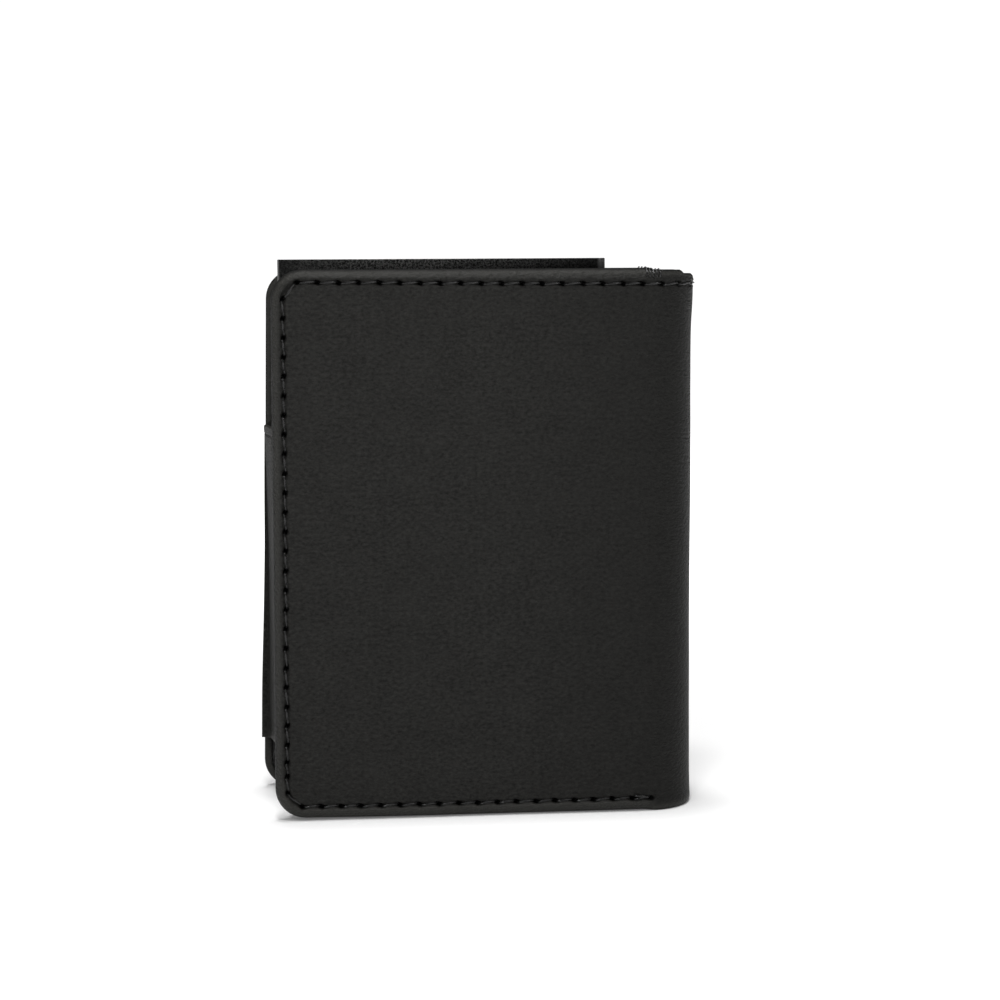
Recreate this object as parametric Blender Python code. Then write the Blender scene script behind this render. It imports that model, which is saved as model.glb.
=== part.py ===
"""Bifold leather wallet with a pop-up aluminium card case, standing slightly open.

The back cover lies in the XZ plane with its outer face towards +Y. The rounded spine is at +X and the
free edges are at -X. The front cover opens towards -Y about two creases in the spine, which are
parallel to Z. The origin is at the bottom centre of the bounding box.

Leather parts are drawn flat and then wrapped. A flat drawing has three coordinates: the distance along
the outer face, zero where the back cover meets the spine and growing towards the front cover, the
depth inwards from the outer face, and the height.
"""

from math import cos, hypot, pi, radians, sin

import bmesh
import bpy
from mathutils import Matrix, Vector

MM = 0.001

# Covers
COVER_HEIGHT = 103.0 * MM
BACK_WIDTH = 73.2 * MM       # from the spine's start to the free edge
FRONT_WIDTH = 69.9 * MM
CORNER_RADIUS = 5.7 * MM
RIM_WIDTH = 2.4 * MM         # the turned edge
COVER_THICKNESS = 2.8 * MM   # at the turned edge
LEATHER = 1.1 * MM
LAYER_GAP = 0.15 * MM
BOARD = 0.6 * MM
RIM_END = 3.0 * MM           # where the turned edge stops, short of the spine
LINING_END = 4.0 * MM
STITCH_INSET = 2.2 * MM
STITCH_WIDTH = 0.6 * MM
THREAD_THICKNESS = 0.3 * MM
GROOVE_MARGIN = 0.1 * MM      # round the thread, in its groove

# Spine and fold
OPEN_ANGLE = radians(9.0)    # between the covers at rest
SPINE_RADIUS = 9.5 * MM
SPINE_TURN = pi - OPEN_ANGLE
SPINE_LENGTH = SPINE_RADIUS * SPINE_TURN
CREASE_TURN = SPINE_TURN / 2               # each crease unrolls half of the spine
CREASE_ANGLE = CREASE_TURN / 2             # where a crease lies, from the nearer cover
CREASE_GAP = 0.5 * MM
SPINE_LEATHER_MARGIN = 0.6 * MM            # the spine's cut edges stay above the turned edges' ends
BEND_STEP = radians(6)

# Card case
CASE_WIDTH = 62.5 * MM
CASE_THICKNESS = 8.0 * MM
CASE_WALL = 1.0 * MM
CASE_CORNER = 1.0 * MM
CASE_INNER_CORNER = 0.4 * MM
CASE_RIGHT = 6.9 * MM        # from the spine's start to the case
CASE_TOP = 104.9 * MM
CASE_BOTTOM = 4.2 * MM
PAD_THICKNESS = 0.3 * MM
PAD_INSET = 2.5 * MM

# Leather band that holds the case
SLEEVE_BOTTOM = 11.0 * MM
SLEEVE_TOP = 72.0 * MM
SLEEVE_THICKNESS = 1.0 * MM
SLEEVE_GAP = 0.2 * MM
SLEEVE_LEFT_FLANGE_END = 72.8 * MM
SLEEVE_LEFT_BEND = 71.1 * MM
SLEEVE_RIGHT_BEND = 5.2 * MM
SLEEVE_RIGHT_FLANGE_END = 1.8 * MM

# Card slots inside the front cover: bottom, top
CARD_SLOTS = {
    "upper_card_slot": (52.0 * MM, 80.0 * MM),
    "middle_card_slot": (38.0 * MM, 66.0 * MM),
    "lower_card_slot": (3.0 * MM, 52.0 * MM),
}
SLOT_THICKNESS = 0.6 * MM
SLOT_START = 5.0 * MM

# Lever mechanism at the foot of the case
BASE_FLANGE_BOTTOM = 3.0 * MM
BASE_PLUG_TOP = 6.5 * MM
BASE_CLEARANCE = 0.15 * MM
EAR_TOP = 12.3 * MM
EAR_THICKNESS = 1.0 * MM
EAR_HALF_WIDTH = 3.0 * MM
EAR_SPACING = 3.8 * MM
PIVOT_FROM_CASE_EDGE = 7.0 * MM
PIVOT_HEIGHT = 9.5 * MM
PIN_RADIUS = 0.75 * MM
PIN_CLEARANCE = 0.06 * MM
HUB_RADIUS = 2.5 * MM
HUB_THICKNESS = 1.7 * MM
TAB_DROP = 8.6 * MM
TAB_WIDTH = 3.2 * MM
ARM_START = 6.0 * MM
ARM_END = 46.0 * MM
ARM_FLOOR = 7.1 * MM
ARM_STEP_WIDTH = 1.35 * MM
ARM_STEP_RISE = 0.8 * MM
ARM_STEPS = 4
SPRING_WIRE = 0.2 * MM
SPRING_RADIUS = 1.5 * MM
SPRING_TURNS = 2.5
SPRING_PITCH = 0.5 * MM
BRAKE_WIDTH = 8.0 * MM
BRAKE_THICKNESS = 0.5 * MM
BRAKE_BOTTOM = 45.0 * MM
BRAKE_TOP = 95.0 * MM
BRAKE_INSET = 6.0 * MM
RAIL_WIDTH = 2.5 * MM
RAIL_BOTTOM = 13.5 * MM
RAIL_TOP = 102.5 * MM

BACK = -1
FRONT = 1

# The model is centred on the origin, seen from above
SPINE_X = (BACK_WIDTH - SPINE_RADIUS) / 2
FRONTMOST = SPINE_RADIUS * cos(OPEN_ANGLE) + FRONT_WIDTH * sin(OPEN_ANGLE)
SPINE_Y = (FRONTMOST - SPINE_RADIUS) / 2

# Depths of the layers below the outer face
BOARD_DEPTH = LEATHER + LAYER_GAP
LINING_DEPTH = BOARD_DEPTH + BOARD + LAYER_GAP
PAD_DEPTH = COVER_THICKNESS + LAYER_GAP
CASE_DEPTH = PAD_DEPTH + PAD_THICKNESS + LAYER_GAP

CASE_X_RIGHT = SPINE_X - CASE_RIGHT
CASE_X_LEFT = CASE_X_RIGHT - CASE_WIDTH
CASE_Y_BACK = SPINE_Y + SPINE_RADIUS - CASE_DEPTH
CASE_Y_FRONT = CASE_Y_BACK - CASE_THICKNESS
CASE_Y = (CASE_Y_BACK + CASE_Y_FRONT) / 2
PIVOT_X = CASE_X_LEFT + PIVOT_FROM_CASE_EDGE
HUB_FRONT = CASE_Y - EAR_SPACING / 2 + 0.2 * MM


# ---------------------------------------------------------------- scene, materials and basic shapes

def clear_scene():
    for item in list(bpy.data.objects):
        bpy.data.objects.remove(item, do_unlink=True)


def material(name, colour, roughness, metallic=0.0):
    """A Principled material with one colour, roughness and metallic value."""
    made = bpy.data.materials.new(name)
    made.use_nodes = True
    shader = made.node_tree.nodes["Principled BSDF"]
    shader.inputs["Base Color"].default_value = (*colour, 1.0)
    shader.inputs["Roughness"].default_value = roughness
    shader.inputs["Metallic"].default_value = metallic
    made.diffuse_color = (*colour, 1.0)
    return made


def new_object(name, bm):
    """Link a new object made from a bmesh, with all its faces pointing out."""
    bmesh.ops.recalc_face_normals(bm, faces=bm.faces)
    mesh = bpy.data.meshes.new(name)
    bm.to_mesh(mesh)
    bm.free()
    item = bpy.data.objects.new(name, mesh)
    bpy.context.scene.collection.objects.link(item)
    return item


def prism(name, outline, start, end):
    """Extrude a closed outline of points from `start` by the vector `end - start`."""
    bm = bmesh.new()
    offset = Vector(end) - Vector(start)
    near = [bm.verts.new(Vector(point) + Vector(start)) for point in outline]
    far = [bm.verts.new(vert.co + offset) for vert in near]
    bm.faces.new(near)
    bm.faces.new(list(reversed(far)))
    count = len(outline)
    for i in range(count):
        j = (i + 1) % count
        bm.faces.new((near[j], near[i], far[i], far[j]))
    return new_object(name, bm)


def block(name, x, y, z):
    """A box between the given pairs of coordinates."""
    outline = [(x[0], y[0], 0), (x[1], y[0], 0), (x[1], y[1], 0), (x[0], y[1], 0)]
    return prism(name, outline, (0, 0, z[0]), (0, 0, z[1]))


def cylinder_y(name, radius, x, y, z, segments=24):
    """A cylinder along Y between the two coordinates in `y`."""
    outline = []
    for i in range(segments):
        turn = 2 * pi * i / segments
        outline.append((x + radius * cos(turn), 0, z + radius * sin(turn)))
    item = prism(name, outline, (0, y[0], 0), (0, y[1], 0))
    shade_round(item)
    return item


def rounded_rectangle(x, y, corners, steps=6):
    """Counterclockwise outline; `corners` are the radii from (x0, y0) on, counterclockwise."""
    signs = ((-1, -1), (1, -1), (1, 1), (-1, 1))
    outline = []
    for i, (sign_x, sign_y) in enumerate(signs):
        radius = corners[i]
        corner_x = x[0] if sign_x < 0 else x[1]
        corner_y = y[0] if sign_y < 0 else y[1]
        if radius == 0:
            outline.append((corner_x, corner_y))
            continue
        centre_x = corner_x - sign_x * radius
        centre_y = corner_y - sign_y * radius
        for k in range(steps + 1):
            turn = pi + (i + k / steps) * pi / 2
            outline.append((centre_x + radius * cos(turn), centre_y + radius * sin(turn)))
    return outline


def apply_modifiers(item):
    """Replace the object's mesh by what its modifiers make of it."""
    graph = bpy.context.evaluated_depsgraph_get()
    mesh = bpy.data.meshes.new_from_object(item.evaluated_get(graph))
    item.modifiers.clear()
    item.data = mesh


def combine(item, others, operation):
    """Join or cut the object with others, which are used up."""
    for other in others:
        modifier = item.modifiers.new(operation.lower(), "BOOLEAN")
        modifier.operation = operation
        modifier.solver = "EXACT"
        modifier.object = other
    apply_modifiers(item)
    for other in others:
        bpy.data.objects.remove(other, do_unlink=True)


def shade_round(item, sharp=35):
    item.data.shade_smooth()
    item.data.set_sharp_from_angle(angle=radians(sharp))


def finish(item, look, joint=None):
    """Give the object its material, and its origin on the joint it turns about."""
    item.data.materials.clear()
    item.data.materials.append(look)
    if joint is not None:
        item.data.transform(Matrix.Translation(-joint["centre"]))
        item.parent = joint["empty"]
    return item


# ---------------------------------------------------------------- the wrap

def along(side, run):
    """Distance along the wrap, `run` past the spine on the back (-1) or front (+1) cover."""
    return -run if side == BACK else SPINE_LENGTH + run


def wrap_point(distance, depth, height):
    """Place a point of the flat drawing on the folded wallet."""
    radius = SPINE_RADIUS - depth
    if distance <= 0:
        x = distance
        y = radius
    else:
        turn = min(distance / SPINE_RADIUS, SPINE_TURN)
        beyond = max(distance - SPINE_LENGTH, 0)
        x = radius * sin(turn) - beyond * cos(OPEN_ANGLE)
        y = radius * cos(turn) - beyond * sin(OPEN_ANGLE)
    return Vector((SPINE_X + x, SPINE_Y + y, height))


def wrap(item):
    """Fold an object drawn flat, with enough cuts across the spine to bend smoothly."""
    bm = bmesh.new()
    bm.from_mesh(item.data)
    low = min(vert.co.x for vert in bm.verts)
    high = max(vert.co.x for vert in bm.verts)
    cuts = round(SPINE_TURN / BEND_STEP)
    for i in range(cuts + 1):
        distance = SPINE_LENGTH * i / cuts
        if low < distance < high:
            geometry = bm.verts[:] + bm.edges[:] + bm.faces[:]
            bmesh.ops.bisect_plane(bm, geom=geometry, plane_co=(distance, 0, 0), plane_no=(1, 0, 0))
    for vert in bm.verts:
        vert.co = wrap_point(vert.co.x, -vert.co.y, vert.co.z)
    bmesh.ops.recalc_face_normals(bm, faces=bm.faces)
    bm.to_mesh(item.data)
    bm.free()
    shade_round(item, 20)
    return item


def flat_panel(name, side, run, height, depth, corner=0.0):
    """A flat panel of one cover, with rounded corners at the free edge."""
    spans = sorted(along(side, value) for value in run)
    corners = (corner, 0, 0, corner) if side == BACK else (0, corner, corner, 0)
    outline = rounded_rectangle(spans, height, corners)
    points = [(distance, 0, rise) for distance, rise in outline]
    return prism(name, points, (0, -depth[0], 0), (0, -depth[1], 0))


# ---------------------------------------------------------------- leather parts

def cover_leather(name, side, width):
    """Outer leather with its turned edge on three sides, running on to the nearer crease."""
    stub = SPINE_RADIUS * CREASE_ANGLE - CREASE_GAP / 2
    full = (0, COVER_HEIGHT)
    margin = SPINE_LEATHER_MARGIN
    leather = flat_panel(name, side, (RIM_END, width), full, (0, COVER_THICKNESS), CORNER_RADIUS)
    inside = (RIM_WIDTH, COVER_HEIGHT - RIM_WIDTH)
    below = (LEATHER, COVER_THICKNESS * 2)
    recess = flat_panel("recess", side, (RIM_END / 2, width - RIM_WIDTH), inside, below,
                        CORNER_RADIUS - RIM_WIDTH)
    tongue = flat_panel("tongue", side, (-stub, RIM_END * 2), (margin, COVER_HEIGHT - margin),
                        (0, LEATHER))
    combine(leather, [recess], "DIFFERENCE")
    combine(leather, [tongue], "UNION")
    combine(leather, [seam_strip("groove", side, width, GROOVE_MARGIN, -LEATHER)], "DIFFERENCE")
    return wrap(leather)


def cover_layer(name, side, width, depth):
    """A board or lining that lies inside the turned edge."""
    edge = RIM_WIDTH + LAYER_GAP
    height = (edge, COVER_HEIGHT - edge)
    layer = flat_panel(name, side, (LINING_END, width - edge), height, depth, CORNER_RADIUS - edge)
    return wrap(layer)


def card_slot(name, order, height):
    """One stepped pocket panel inside the front cover; `order` counts out from the lining."""
    depth = COVER_THICKNESS + LAYER_GAP + order * (SLOT_THICKNESS + LAYER_GAP)
    run = (SLOT_START, FRONT_WIDTH - RIM_WIDTH - LAYER_GAP)
    corner = CORNER_RADIUS / 2 if order == len(CARD_SLOTS) - 1 else 0.0
    panel = flat_panel(name, FRONT, run, height, (depth, depth + SLOT_THICKNESS), corner)
    return wrap(panel)


def spine_strip(name, depth, margin):
    """The part of a layer between the two creases."""
    crease = SPINE_RADIUS * CREASE_ANGLE + CREASE_GAP / 2
    spans = (crease, SPINE_LENGTH - crease)
    height = (margin, COVER_HEIGHT - margin)
    outline = rounded_rectangle(spans, height, (0, 0, 0, 0))
    points = [(distance, 0, rise) for distance, rise in outline]
    return wrap(prism(name, points, (0, -depth[0], 0), (0, -depth[1], 0)))


def edge_path(side, width, inset, steps=6):
    """Flat points along a cover's edge, from the spine round the free edge and back along the top."""
    radius = CORNER_RADIUS - inset
    turn_run = width - inset - radius
    points = [(RIM_END, inset)]
    for start, centre_height in ((-pi / 2, inset + radius), (0, COVER_HEIGHT - inset - radius)):
        for i in range(steps + 1):
            turn = start + pi / 2 * i / steps
            points.append((turn_run + radius * cos(turn), centre_height + radius * sin(turn)))
    points.append((RIM_END, COVER_HEIGHT - inset))
    return [(along(side, run), 0, height) for run, height in points]


def seam_strip(name, side, width, margin, top):
    """Flat strip that follows the seam, from the depth `top` to just below the thread."""
    outer = edge_path(side, width, STITCH_INSET - margin)
    inner = edge_path(side, width, STITCH_INSET + STITCH_WIDTH + margin)
    bottom = THREAD_THICKNESS + margin
    return prism(name, outer + list(reversed(inner)), (0, -top, 0), (0, -bottom, 0))


def stitching(name, side, width):
    """One run of thread round three sides of a cover, lying flush in its groove."""
    return wrap(seam_strip(name, side, width, 0, 0))


def strip_outline(path, thickness):
    """Closed outline of a strip that follows the middle line `path`, with mitred corners."""
    left = []
    right = []
    for i, point in enumerate(path):
        before = path[max(i - 1, 0)]
        after = path[min(i + 1, len(path) - 1)]
        normals = []
        for start, stop in ((before, point), (point, after)):
            length = hypot(stop[0] - start[0], stop[1] - start[1])
            if length > 0:
                normals.append(Vector((start[1] - stop[1], stop[0] - start[0])) / length)
        mitre = sum(normals, Vector((0, 0))).normalized()
        reach = thickness / 2 / mitre.dot(normals[0])
        left.append((point[0] + mitre.x * reach, point[1] + mitre.y * reach, 0))
        right.append((point[0] - mitre.x * reach, point[1] - mitre.y * reach, 0))
    return left + list(reversed(right))


def case_sleeve():
    """Band with a flange each side, sewn down on the lining and passing over the case."""
    half = SLEEVE_THICKNESS / 2
    flange_y = SPINE_Y + SPINE_RADIUS - PAD_DEPTH - half
    front_y = CASE_Y_FRONT - SLEEVE_GAP - half
    left_x = CASE_X_LEFT - SLEEVE_GAP - half
    right_x = CASE_X_RIGHT + SLEEVE_GAP + half
    path = [
        (SPINE_X - SLEEVE_LEFT_FLANGE_END, flange_y),
        (SPINE_X - SLEEVE_LEFT_BEND, flange_y),
        (left_x, front_y),
        (right_x, front_y),
        (SPINE_X - SLEEVE_RIGHT_BEND, flange_y),
        (SPINE_X - SLEEVE_RIGHT_FLANGE_END, flange_y),
    ]
    outline = strip_outline(path, SLEEVE_THICKNESS)
    return prism("case_sleeve", outline, (0, 0, SLEEVE_BOTTOM), (0, 0, SLEEVE_TOP))


def sleeve_stitching():
    """Thread down the right flange of the band, beside the spine."""
    flange_front = SPINE_Y + SPINE_RADIUS - PAD_DEPTH - SLEEVE_THICKNESS
    middle = SPINE_X - (SLEEVE_RIGHT_FLANGE_END + SLEEVE_RIGHT_BEND) / 2 + STITCH_WIDTH
    x = (middle - STITCH_WIDTH / 2, middle + STITCH_WIDTH / 2)
    y = (flange_front - LAYER_GAP - THREAD_THICKNESS, flange_front - LAYER_GAP)
    z = (SLEEVE_BOTTOM + STITCH_INSET, SLEEVE_TOP - STITCH_INSET)
    return block("sleeve_stitching", x, y, z)


# ---------------------------------------------------------------- card case

def card_case():
    """Square tube, open at the top and closed at the bottom by its base."""
    outer = rounded_rectangle((CASE_X_LEFT, CASE_X_RIGHT), (CASE_Y_FRONT, CASE_Y_BACK), [CASE_CORNER] * 4)
    inner = rounded_rectangle((CASE_X_LEFT + CASE_WALL, CASE_X_RIGHT - CASE_WALL),
                              (CASE_Y_FRONT + CASE_WALL, CASE_Y_BACK - CASE_WALL),
                              [CASE_INNER_CORNER] * 4)
    bm = bmesh.new()
    rings = []
    for outline, height in ((outer, CASE_BOTTOM), (outer, CASE_TOP), (inner, CASE_TOP), (inner, CASE_BOTTOM)):
        rings.append([bm.verts.new((x, y, height)) for x, y in outline])
    count = len(outer)
    for ring, following in zip(rings, rings[1:] + rings[:1]):
        for i in range(count):
            j = (i + 1) % count
            bm.faces.new((ring[i], ring[j], following[j], following[i]))
    tube = new_object("card_case", bm)
    shade_round(tube)
    return tube


def case_adhesive_pad():
    """Thin pad between the lining and the case."""
    back = SPINE_Y + SPINE_RADIUS - PAD_DEPTH
    return block("case_adhesive_pad", (CASE_X_LEFT + PAD_INSET, CASE_X_RIGHT - PAD_INSET),
                 (back - PAD_THICKNESS, back), (SLEEVE_BOTTOM, SLEEVE_TOP))


def card_brake(name, middle):
    """Felt strip on the front wall that holds the cards by friction."""
    wall = CASE_Y_FRONT + CASE_WALL + LAYER_GAP
    return block(name, (middle - BRAKE_WIDTH / 2, middle + BRAKE_WIDTH / 2),
                 (wall, wall + BRAKE_THICKNESS), (BRAKE_BOTTOM, BRAKE_TOP))


def card_rail(name, wall, inward):
    """Plastic strip along a side wall, so that the cards are guided; `inward` is -1 or 1."""
    near = wall + inward * LAYER_GAP
    return block(name, sorted((near, near + inward * RAIL_WIDTH)),
                 (CASE_Y_FRONT + CASE_WALL + LAYER_GAP, CASE_Y_BACK - CASE_WALL - LAYER_GAP),
                 (RAIL_BOTTOM, RAIL_TOP))


def case_base():
    """Plug with a flange, a slot for the lever's tab and two ears that hold the pin."""
    outline = rounded_rectangle((CASE_X_LEFT, CASE_X_RIGHT), (CASE_Y_FRONT, CASE_Y_BACK), [CASE_CORNER] * 4)
    flange_top = CASE_BOTTOM - BASE_CLEARANCE
    base = prism("case_base", [(x, y, 0) for x, y in outline], (0, 0, BASE_FLANGE_BOTTOM), (0, 0, flange_top))
    inset = CASE_WALL + BASE_CLEARANCE
    plug = block("plug", (CASE_X_LEFT + inset, CASE_X_RIGHT - inset),
                 (CASE_Y_FRONT + inset, CASE_Y_BACK - inset), (flange_top - BASE_CLEARANCE, BASE_PLUG_TOP))
    parts = [plug]
    for sign in (-1, 1):
        near = CASE_Y + sign * EAR_SPACING / 2
        far = near + sign * EAR_THICKNESS
        parts.append(block("ear", (PIVOT_X - EAR_HALF_WIDTH, PIVOT_X + EAR_HALF_WIDTH),
                           sorted((near, far)), (BASE_PLUG_TOP - BASE_CLEARANCE, EAR_TOP)))
    combine(base, parts, "UNION")
    slot = block("slot", (PIVOT_X - EAR_HALF_WIDTH - 0.3 * MM, PIVOT_X + ARM_START - 0.5 * MM),
                 (CASE_Y - EAR_SPACING / 2, CASE_Y + EAR_SPACING / 2), (0, BASE_PLUG_TOP + 1 * MM))
    reach = EAR_SPACING / 2 + EAR_THICKNESS * 2
    hole = cylinder_y("hole", PIN_RADIUS + PIN_CLEARANCE, PIVOT_X, (CASE_Y - reach, CASE_Y + reach), PIVOT_HEIGHT)
    combine(base, [slot, hole], "DIFFERENCE")
    return base


def lever_pin():
    reach = EAR_SPACING / 2 + EAR_THICKNESS - 0.1 * MM
    return cylinder_y("lever_pin", PIN_RADIUS, PIVOT_X, (CASE_Y - reach, CASE_Y + reach), PIVOT_HEIGHT)


def ejector_lever():
    """Stepped arm that lifts each card to its own height, with a hub and a finger tab."""
    arm_front = CASE_Y - ARM_STEP_WIDTH * ARM_STEPS / 2
    outline = [(0, arm_front, ARM_FLOOR)]
    for step in range(ARM_STEPS):
        top = ARM_FLOOR + 1.5 * MM + step * ARM_STEP_RISE
        outline.append((0, arm_front + step * ARM_STEP_WIDTH, top))
        outline.append((0, arm_front + (step + 1) * ARM_STEP_WIDTH, top))
    outline.append((0, arm_front + ARM_STEPS * ARM_STEP_WIDTH, ARM_FLOOR))
    arm = prism("ejector_lever", outline, (PIVOT_X + ARM_START, 0, 0), (PIVOT_X + ARM_END, 0, 0))
    hub_y = (HUB_FRONT, HUB_FRONT + HUB_THICKNESS)
    hub = cylinder_y("hub", HUB_RADIUS, PIVOT_X, hub_y, PIVOT_HEIGHT)
    web = block("web", (PIVOT_X, PIVOT_X + ARM_START + 2 * MM), hub_y, (ARM_FLOOR + 0.2 * MM, PIVOT_HEIGHT + 1 * MM))
    tab = block("tab", (PIVOT_X + 0.6 * MM - TAB_WIDTH, PIVOT_X + 0.6 * MM), hub_y,
                (PIVOT_HEIGHT - TAB_DROP, PIVOT_HEIGHT))
    combine(arm, [hub, web, tab], "UNION")
    hole = cylinder_y("hole", PIN_RADIUS + PIN_CLEARANCE, PIVOT_X,
                      (HUB_FRONT - 1 * MM, HUB_FRONT + HUB_THICKNESS + 1 * MM), PIVOT_HEIGHT)
    combine(arm, [hole], "DIFFERENCE")
    return arm


def lever_spring():
    """Torsion spring round the pin, one leg on the base and one on the lever's arm."""
    start_y = HUB_FRONT + HUB_THICKNESS + SPRING_WIRE + 0.15 * MM
    steps_per_turn = 14
    steps = round(SPRING_TURNS * steps_per_turn)
    points = [(PIVOT_X - EAR_HALF_WIDTH, start_y, PIVOT_HEIGHT - SPRING_RADIUS)]
    for i in range(steps + 1):
        turn = -pi / 2 + 2 * pi * i / steps_per_turn
        points.append((PIVOT_X + SPRING_RADIUS * cos(turn),
                       start_y + SPRING_PITCH * i / steps_per_turn,
                       PIVOT_HEIGHT + SPRING_RADIUS * sin(turn)))
    end_y = start_y + SPRING_PITCH * SPRING_TURNS
    points.append((PIVOT_X - EAR_HALF_WIDTH, end_y, PIVOT_HEIGHT + SPRING_RADIUS))
    curve = bpy.data.curves.new("lever_spring", "CURVE")
    curve.dimensions = "3D"
    curve.bevel_depth = SPRING_WIRE
    curve.bevel_resolution = 1
    curve.use_fill_caps = True
    spline = curve.splines.new("POLY")
    spline.points.add(len(points) - 1)
    for knot, point in zip(spline.points, points):
        knot.co = (*point, 1.0)
    item = bpy.data.objects.new("lever_spring", curve)
    bpy.context.scene.collection.objects.link(item)
    return item


# ---------------------------------------------------------------- assembly

def joint_empty(name, centre, parent=None):
    """An empty on a joint's axis; `parent` is the joint it hangs on."""
    empty = bpy.data.objects.new(name, None)
    bpy.context.scene.collection.objects.link(empty)
    empty.location = centre if parent is None else centre - parent["centre"]
    if parent is not None:
        empty.parent = parent["empty"]
    return {"empty": empty, "centre": centre}


def crease_centre(turn):
    """The line a crease turns about: just outside the leather, where unrolling keeps its length."""
    middle_radius = SPINE_RADIUS - LEATHER / 2
    reach = middle_radius * CREASE_TURN / (2 * sin(CREASE_ANGLE))
    return Vector((SPINE_X + reach * sin(turn), SPINE_Y + reach * cos(turn), 0))


def build():
    clear_scene()
    leather = material("leather", (0.024, 0.024, 0.023), 0.55)
    lining = material("lining_leather", (0.020, 0.020, 0.020), 0.65)
    thread = material("thread", (0.012, 0.012, 0.012), 0.6)
    board = material("fibre_board", (0.30, 0.24, 0.17), 0.9)
    metal = material("anodised_aluminium", (0.035, 0.038, 0.045), 0.4, 1.0)
    plastic = material("black_plastic", (0.02, 0.02, 0.02), 0.45)
    steel = material("steel", (0.55, 0.55, 0.56), 0.3, 1.0)
    felt = material("felt", (0.05, 0.05, 0.05), 0.95)
    foam = material("adhesive_foam", (0.10, 0.10, 0.10), 0.9)

    back_crease = joint_empty("back_crease", crease_centre(CREASE_ANGLE))
    front_crease = joint_empty("front_crease", crease_centre(SPINE_TURN - CREASE_ANGLE), back_crease)
    pivot = joint_empty("ejector_pivot", Vector((PIVOT_X, CASE_Y, PIVOT_HEIGHT)))

    board_depth = (BOARD_DEPTH, BOARD_DEPTH + BOARD)
    lining_depth = (LINING_DEPTH, COVER_THICKNESS)

    finish(cover_leather("back_cover_leather", BACK, BACK_WIDTH), leather)
    finish(cover_layer("back_cover_board", BACK, BACK_WIDTH, board_depth), board)
    finish(cover_layer("back_lining", BACK, BACK_WIDTH, lining_depth), lining)
    finish(stitching("back_stitching", BACK, BACK_WIDTH), thread)
    finish(case_sleeve(), leather)
    finish(sleeve_stitching(), thread)
    finish(case_adhesive_pad(), foam)
    finish(card_case(), metal)
    finish(card_rail("left_card_rail", CASE_X_LEFT + CASE_WALL, 1), plastic)
    finish(card_rail("right_card_rail", CASE_X_RIGHT - CASE_WALL, -1), plastic)
    finish(card_brake("left_card_brake", CASE_X_LEFT + CASE_WALL + BRAKE_INSET + BRAKE_WIDTH / 2), felt)
    finish(card_brake("right_card_brake", CASE_X_RIGHT - CASE_WALL - BRAKE_INSET - BRAKE_WIDTH / 2), felt)
    finish(case_base(), plastic)
    finish(lever_pin(), steel)
    finish(lever_spring(), steel)
    finish(ejector_lever(), plastic, pivot)

    spine_leather_depth = (0, LEATHER)
    spine_lining_depth = (BOARD_DEPTH, BOARD_DEPTH + BOARD)
    finish(spine_strip("spine_leather", spine_leather_depth, SPINE_LEATHER_MARGIN), leather, back_crease)
    finish(spine_strip("spine_lining", spine_lining_depth, RIM_WIDTH), lining, back_crease)

    finish(cover_leather("front_cover_leather", FRONT, FRONT_WIDTH), leather, front_crease)
    finish(cover_layer("front_cover_board", FRONT, FRONT_WIDTH, board_depth), board, front_crease)
    finish(cover_layer("front_lining", FRONT, FRONT_WIDTH, lining_depth), lining, front_crease)
    finish(stitching("front_stitching", FRONT, FRONT_WIDTH), thread, front_crease)
    for order, (name, height) in enumerate(CARD_SLOTS.items()):
        finish(card_slot(name, order, height), lining, front_crease)


build()
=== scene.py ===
"""Looks of the bifold wallet: soft leather skins, sewn threads, the metal card case and its mechanism.

The leather is drawn flat, as in the CAD source, and wrapped round the spine. In a flat drawing, s is the
distance along the outer face: zero where the back cover meets the spine, negative on the back cover, and
beyond SPINE_LENGTH on the front cover. z is the height, and depth goes inwards from the outer face.
A run is the distance from the spine along either cover.
"""

from math import ceil, cos, exp, hypot, pi, radians, sin, sqrt, tan
from random import Random

import bmesh
import bpy
from mathutils import Matrix, Vector, noise


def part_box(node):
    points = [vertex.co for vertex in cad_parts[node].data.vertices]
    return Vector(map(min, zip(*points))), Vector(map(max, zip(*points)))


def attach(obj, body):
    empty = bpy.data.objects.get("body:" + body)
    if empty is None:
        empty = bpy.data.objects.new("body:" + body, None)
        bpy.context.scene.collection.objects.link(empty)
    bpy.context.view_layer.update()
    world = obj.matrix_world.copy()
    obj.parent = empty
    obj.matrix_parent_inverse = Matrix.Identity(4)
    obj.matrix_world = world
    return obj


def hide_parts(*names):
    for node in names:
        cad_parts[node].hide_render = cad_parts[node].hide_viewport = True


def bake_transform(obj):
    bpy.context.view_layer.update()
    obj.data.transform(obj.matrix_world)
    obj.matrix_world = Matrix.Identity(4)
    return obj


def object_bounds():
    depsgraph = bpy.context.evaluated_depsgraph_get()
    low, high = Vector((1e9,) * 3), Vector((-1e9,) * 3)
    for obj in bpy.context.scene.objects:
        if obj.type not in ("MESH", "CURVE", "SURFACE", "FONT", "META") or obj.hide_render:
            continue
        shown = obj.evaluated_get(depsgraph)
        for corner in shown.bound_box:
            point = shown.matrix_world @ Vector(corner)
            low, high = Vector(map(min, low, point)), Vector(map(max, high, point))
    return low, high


MM = 0.001

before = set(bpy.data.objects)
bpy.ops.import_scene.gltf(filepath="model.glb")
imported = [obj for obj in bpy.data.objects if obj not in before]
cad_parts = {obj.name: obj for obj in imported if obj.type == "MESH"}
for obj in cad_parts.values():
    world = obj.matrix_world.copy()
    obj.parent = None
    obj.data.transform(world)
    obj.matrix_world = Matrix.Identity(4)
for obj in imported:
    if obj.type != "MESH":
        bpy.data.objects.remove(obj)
cad_low, cad_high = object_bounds()

# -------- sizes, from the frame where it has them

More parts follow.
